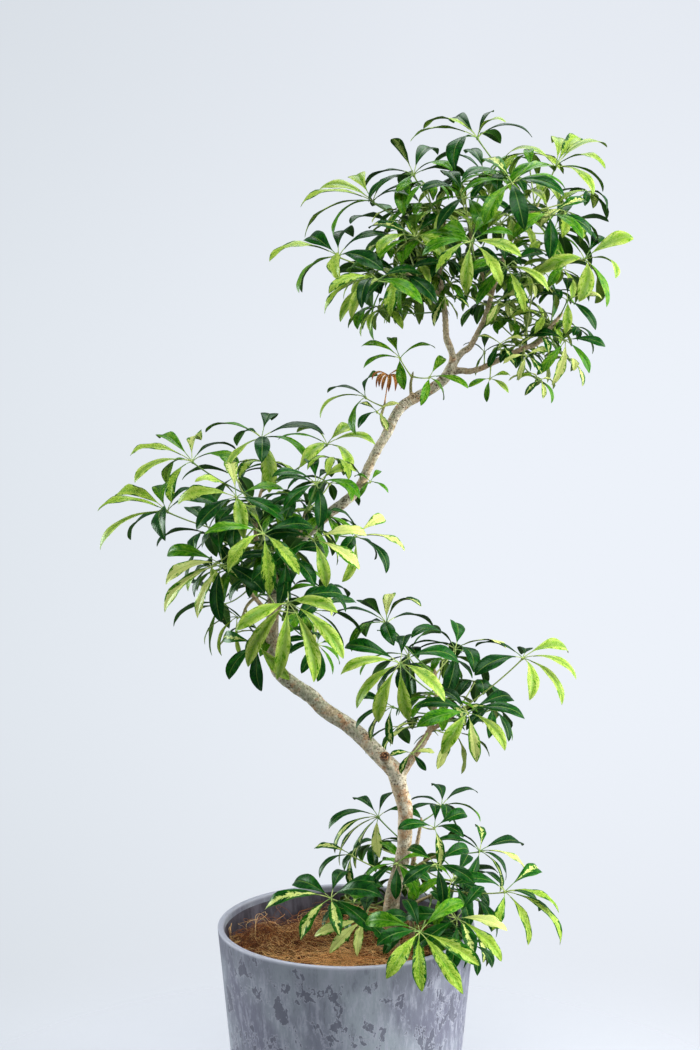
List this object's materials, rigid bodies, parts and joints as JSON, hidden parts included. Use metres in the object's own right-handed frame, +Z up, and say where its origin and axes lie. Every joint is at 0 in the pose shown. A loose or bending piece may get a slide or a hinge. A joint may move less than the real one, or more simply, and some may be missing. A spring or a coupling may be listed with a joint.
{
  "type": "potted schefflera",
  "caption": "Dwarf umbrella tree with marked palmate leaves in tufts along a bent bare trunk, standing in a round tapered grey planter topped with coconut fibre.",
  "frame": {"origin": "centre of the pot's flat bottom", "axes": "+Z up; the side seen in the picture faces -Y, with +X to the viewer's right"},
  "size_m": [0.7404, 0.4027, 1.4929],
  "materials": {
    "pot_stone": "mottled stone look, matt",
    "soil": "damp, rough",
    "coir": "loose fibre",
    "bark": "smooth pale bark, matt",
    "leaf": "leathery, glossy",
    "young_leaf": "soft, dull"
  },
  "bodies": {
    "root": {"pot": "pot_stone", "soil": "soil", "coir_mulch": "coir", "trunk": "bark", "crown_left_spray": "leaf", "crown_right_spray": "leaf", "crown_low_spray": "leaf", "mid_right_spray": "leaf", "upper_trunk_shoot": "leaf", "upper_trunk_spray": "leaf", "trunk_leaf_tuft": "leaf", "mid_left_upper_spray": "leaf", "mid_left_inner_spray": "leaf", "mid_left_lower_spray": "leaf", "mid_left_front_spray": "leaf", "base_shoot": "leaf", "brown_leaf_bunch": "young_leaf"}
  },
  "joints": []
}
